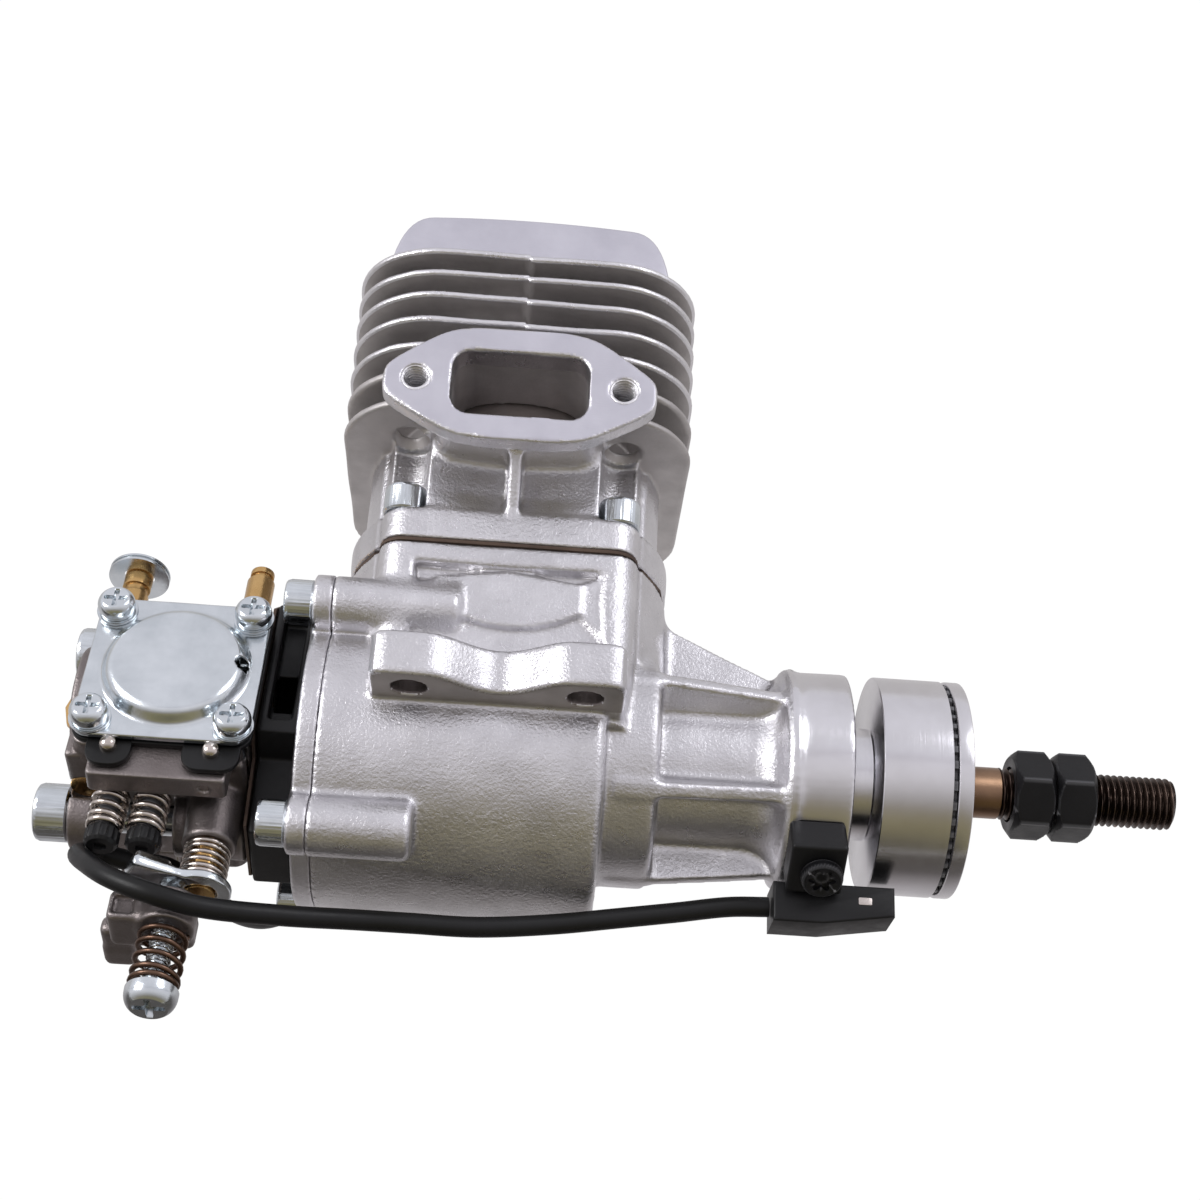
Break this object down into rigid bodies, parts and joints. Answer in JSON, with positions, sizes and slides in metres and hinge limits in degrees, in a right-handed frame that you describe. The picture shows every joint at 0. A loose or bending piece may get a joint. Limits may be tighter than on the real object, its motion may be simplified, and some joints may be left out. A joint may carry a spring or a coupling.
{
  "type": "model aircraft engine",
  "caption": "Single-cylinder two-stroke model aircraft engine with finned head, diaphragm carburettor, beam mounting lugs, propeller hub and ignition sensor with its lead.",
  "frame": {"origin": "where the crank axis meets the cylinder axis, level with the underside of the mounting lugs and midway between their bolt holes", "axes": "+X along the crankshaft towards the propeller, +Y up the cylinder to the head, +Z out of the exhaust port"},
  "size_m": [0.1711, 0.1339, 0.062],
  "materials": {
    "cast_aluminium": "fine blasted casting grain, machined faces smooth",
    "turned_aluminium": "bright turned",
    "steel": "ground",
    "bronzed_steel": "bronze-brown oxide",
    "black_steel": "black oxide, satin",
    "zinc": "bright zinc, faintly blue",
    "brass": "turned",
    "die_cast": "grey-brown die cast, satin",
    "spring_nickel": "bright spring wire",
    "spring_bronze": "bronze-brown spring wire",
    "black_plastic": "moulded black",
    "gasket_paper": "dark brown fibre",
    "black_rubber": "matt"
  },
  "bodies": {
    "engine": {"cylinder": "cast_aluminium", "crankcase": "cast_aluminium", "rear_cover": "cast_aluminium", "cylinder_gasket": "gasket_paper", "carb_gasket": "gasket_paper", "cylinder_bolt_1": "zinc", "cylinder_bolt_2": "zinc", "cylinder_bolt_3": "zinc", "cylinder_bolt_4": "zinc", "rear_cover_bolt_1": "zinc", "rear_cover_bolt_2": "zinc", "rear_cover_bolt_3": "zinc", "rear_cover_bolt_4": "zinc", "cover_screw_1": "zinc", "cover_screw_2": "zinc", "cover_screw_3": "zinc", "cover_screw_4": "zinc", "metering_cover": "zinc", "carb_bolt_lower": "zinc", "carb_bolt_upper": "zinc", "reed_seat": "black_plastic", "insulator_block": "black_plastic", "sensor_body": "black_plastic", "sensor_clamp": "black_plastic", "lead_plug": "black_plastic", "rear_bearing_outer_race": "steel", "front_bearing_outer_race": "steel", "carb_body": "die_cast", "pump_cover": "die_cast", "metering_gasket": "black_rubber", "sensor_lead": "black_rubber", "sensor_screw": "black_steel", "throttle_spring": "spring_bronze", "idle_spring": "spring_bronze", "low_needle_spring": "spring_nickel", "high_needle_spring": "spring_nickel"},
    "crank": {"crankshaft": "bronzed_steel", "rear_bearing_inner_race": "steel", "front_bearing_inner_race": "steel", "drive_hub": "turned_aluminium", "hub_magnet": "steel", "prop_washer": "turned_aluminium", "prop_nut": "black_steel", "lock_nut": "black_steel"},
    "web_plug": {"crank_web_plug": "steel"},
    "piston": {"piston": "die_cast", "piston_ring": "steel", "wrist_pin": "steel", "connecting_rod": "steel"},
    "rod": {"rod_big_end": "steel"},
    "throttle": {"throttle_shaft": "brass", "throttle_plate": "brass", "throttle_lever": "zinc"},
    "choke": {"choke_shaft": "brass", "choke_plate": "brass", "choke_lever": "zinc"},
    "low_needle": {"low_needle": "black_plastic"},
    "high_needle": {"high_needle": "black_plastic"},
    "idle_screw": {"idle_screw": "zinc"},
    "reed": {"reed_petal": "steel"}
  },
  "joints": [
    {"name": "crank_spin", "type": "hinge", "parent": "engine", "child": "crank", "pos_m": [0, 0, 0], "axis": [1, 0, 0], "continuous": true},
    {"name": "web_plug_turn", "type": "hinge", "parent": "crank", "child": "web_plug", "pos_m": [0, 0.00625, 0], "axis": [1, 0, 0], "continuous": true},
    {"name": "piston_stroke", "type": "hinge", "parent": "web_plug", "child": "piston", "pos_m": [0, 0.0125, 0], "axis": [1, 0, 0], "continuous": true},
    {"name": "crank_pin_turn", "type": "hinge", "parent": "crank", "child": "rod", "pos_m": [0, 0.0125, 0], "axis": [1, 0, 0], "continuous": true},
    {"name": "throttle_turn", "type": "hinge", "parent": "engine", "child": "throttle", "pos_m": [-0.0398, 0.00127, 0.00432], "axis": [0, -0.9596, 0.2813], "range_deg": [0, 75], "stiffness_Nm_per_rad": 0.01},
    {"name": "choke_turn", "type": "hinge", "parent": "engine", "child": "choke", "pos_m": [-0.0592, 0.00127, 0.00432], "axis": [0, -0.9596, 0.2813], "range_deg": [0, 75]},
    {"name": "low_needle_turn", "type": "hinge", "parent": "engine", "child": "low_needle", "pos_m": [-0.0542, -0.01694, 0.0133], "axis": [0, 0.9596, -0.2813], "range_deg": [-360, 360]},
    {"name": "high_needle_turn", "type": "hinge", "parent": "engine", "child": "high_needle", "pos_m": [-0.0484, -0.01694, 0.0133], "axis": [0, 0.9596, -0.2813], "range_deg": [-360, 360]},
    {"name": "idle_screw_turn", "type": "hinge", "parent": "engine", "child": "idle_screw", "pos_m": [-0.0435, -0.03712, 0.01557], "axis": [0, 0.9596, -0.2813], "range_deg": [-360, 360]},
    {"name": "reed_flex", "type": "hinge", "parent": "engine", "child": "reed", "pos_m": [-0.0226, 0.011, 0.004], "axis": [0, 0, 1], "range_deg": [0, 12], "stiffness_Nm_per_rad": 0.01}
  ],
  "couplings": [
    {"joint": "web_plug_turn", "follows": "crank_spin", "ratio": -2},
    {"joint": "piston_stroke", "follows": "crank_spin", "ratio": 1},
    {"joint": "crank_pin_turn", "follows": "crank_spin", "ratio": -1}
  ]
}
